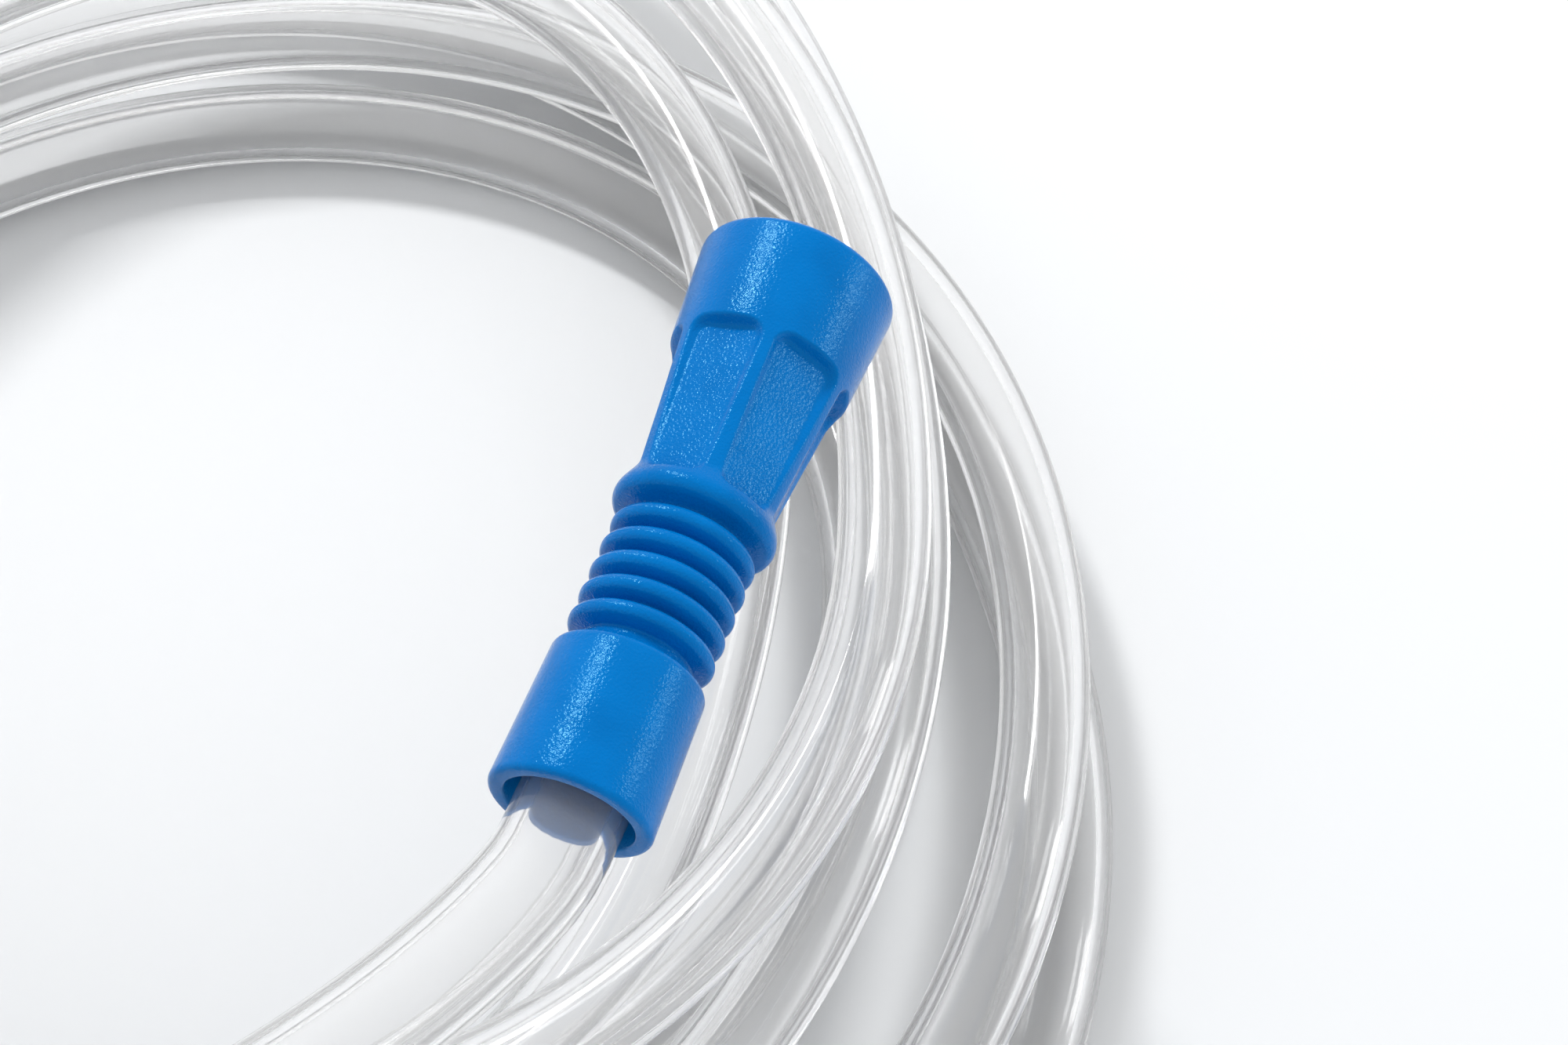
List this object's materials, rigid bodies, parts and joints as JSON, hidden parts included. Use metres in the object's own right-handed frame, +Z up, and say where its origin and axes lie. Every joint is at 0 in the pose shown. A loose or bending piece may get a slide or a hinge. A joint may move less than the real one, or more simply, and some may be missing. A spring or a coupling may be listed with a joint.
{
  "type": "suction connecting tube",
  "caption": "Coiled clear flexible suction tube with soft funnel connectors, each with a socket collar, bellows strain relief, panelled grip and flared mouth.",
  "frame": {"origin": "on the ground under the middle of the two connectors' common box", "axes": "+Z up; +Y along the raised near connector, from its collar to its funnel; the far connector points along -X"},
  "size_m": [0.2258, 0.2768, 0.0797],
  "materials": {
    "blue_pvc": "soft moulded PVC with a fine spark-eroded grain",
    "clear_pvc": "clear glossy flexible tube"
  },
  "bodies": {
    "coiled_tube": {"tube_near_lead": "clear_pvc", "tube_upper_coil": "clear_pvc", "tube_lower_coil": "clear_pvc", "tube_far_lead": "clear_pvc", "near_collar": "blue_pvc", "far_collar": "blue_pvc"},
    "near_ring_1": {"near_bellows_ring_1": "blue_pvc"},
    "near_ring_2": {"near_bellows_ring_2": "blue_pvc"},
    "near_ring_3": {"near_bellows_ring_3": "blue_pvc"},
    "near_ring_4": {"near_bellows_ring_4": "blue_pvc"},
    "near_ring_5": {"near_bellows_ring_5": "blue_pvc"},
    "near_grip": {"near_grip": "blue_pvc", "near_funnel": "blue_pvc"},
    "far_ring_1": {"far_bellows_ring_1": "blue_pvc"},
    "far_ring_2": {"far_bellows_ring_2": "blue_pvc"},
    "far_ring_3": {"far_bellows_ring_3": "blue_pvc"},
    "far_ring_4": {"far_bellows_ring_4": "blue_pvc"},
    "far_ring_5": {"far_bellows_ring_5": "blue_pvc"},
    "far_grip": {"far_grip": "blue_pvc", "far_funnel": "blue_pvc"}
  },
  "joints": [
    {"name": "near_flex_1_pitch", "type": "hinge", "parent": "coiled_tube", "child": "near_ring_1", "pos_m": [0.06225, 0.04219, 0.07], "axis": [1, 0, 0], "range_deg": [-6, 6], "stiffness_Nm_per_rad": 0.2},
    {"name": "near_flex_2_yaw", "type": "hinge", "parent": "near_ring_1", "child": "near_ring_2", "pos_m": [0.06225, 0.04476, 0.07], "axis": [0, 0, 1], "range_deg": [-6, 6], "stiffness_Nm_per_rad": 0.2},
    {"name": "near_flex_3_pitch", "type": "hinge", "parent": "near_ring_2", "child": "near_ring_3", "pos_m": [0.06225, 0.04732, 0.07], "axis": [1, 0, 0], "range_deg": [-6, 6], "stiffness_Nm_per_rad": 0.2},
    {"name": "near_flex_4_yaw", "type": "hinge", "parent": "near_ring_3", "child": "near_ring_4", "pos_m": [0.06225, 0.0499, 0.07], "axis": [0, 0, 1], "range_deg": [-6, 6], "stiffness_Nm_per_rad": 0.2},
    {"name": "near_flex_5_pitch", "type": "hinge", "parent": "near_ring_4", "child": "near_ring_5", "pos_m": [0.06225, 0.05246, 0.07], "axis": [1, 0, 0], "range_deg": [-6, 6], "stiffness_Nm_per_rad": 0.2},
    {"name": "near_flex_6_yaw", "type": "hinge", "parent": "near_ring_5", "child": "near_grip", "pos_m": [0.06225, 0.05504, 0.07], "axis": [0, 0, 1], "range_deg": [-6, 6], "stiffness_Nm_per_rad": 0.2},
    {"name": "far_flex_1_pitch", "type": "hinge", "parent": "coiled_tube", "child": "far_ring_1", "pos_m": [-0.02868, -0.07575, 0.0097], "axis": [0, 1, 0], "range_deg": [0, 6], "stiffness_Nm_per_rad": 0.2},
    {"name": "far_flex_2_yaw", "type": "hinge", "parent": "far_ring_1", "child": "far_ring_2", "pos_m": [-0.03125, -0.07575, 0.0097], "axis": [0, 0, 1], "range_deg": [-6, 6], "stiffness_Nm_per_rad": 0.2},
    {"name": "far_flex_3_pitch", "type": "hinge", "parent": "far_ring_2", "child": "far_ring_3", "pos_m": [-0.03383, -0.07575, 0.0097], "axis": [0, 1, 0], "range_deg": [0, 6], "stiffness_Nm_per_rad": 0.2},
    {"name": "far_flex_4_yaw", "type": "hinge", "parent": "far_ring_3", "child": "far_ring_4", "pos_m": [-0.03639, -0.07575, 0.0097], "axis": [0, 0, 1], "range_deg": [-6, 6], "stiffness_Nm_per_rad": 0.2},
    {"name": "far_flex_5_pitch", "type": "hinge", "parent": "far_ring_4", "child": "far_ring_5", "pos_m": [-0.03896, -0.07575, 0.0097], "axis": [0, 1, 0], "range_deg": [0, 6], "stiffness_Nm_per_rad": 0.2},
    {"name": "far_flex_6_yaw", "type": "hinge", "parent": "far_ring_5", "child": "far_grip", "pos_m": [-0.04154, -0.07575, 0.0097], "axis": [0, 0, 1], "range_deg": [-6, 6], "stiffness_Nm_per_rad": 0.2}
  ]
}
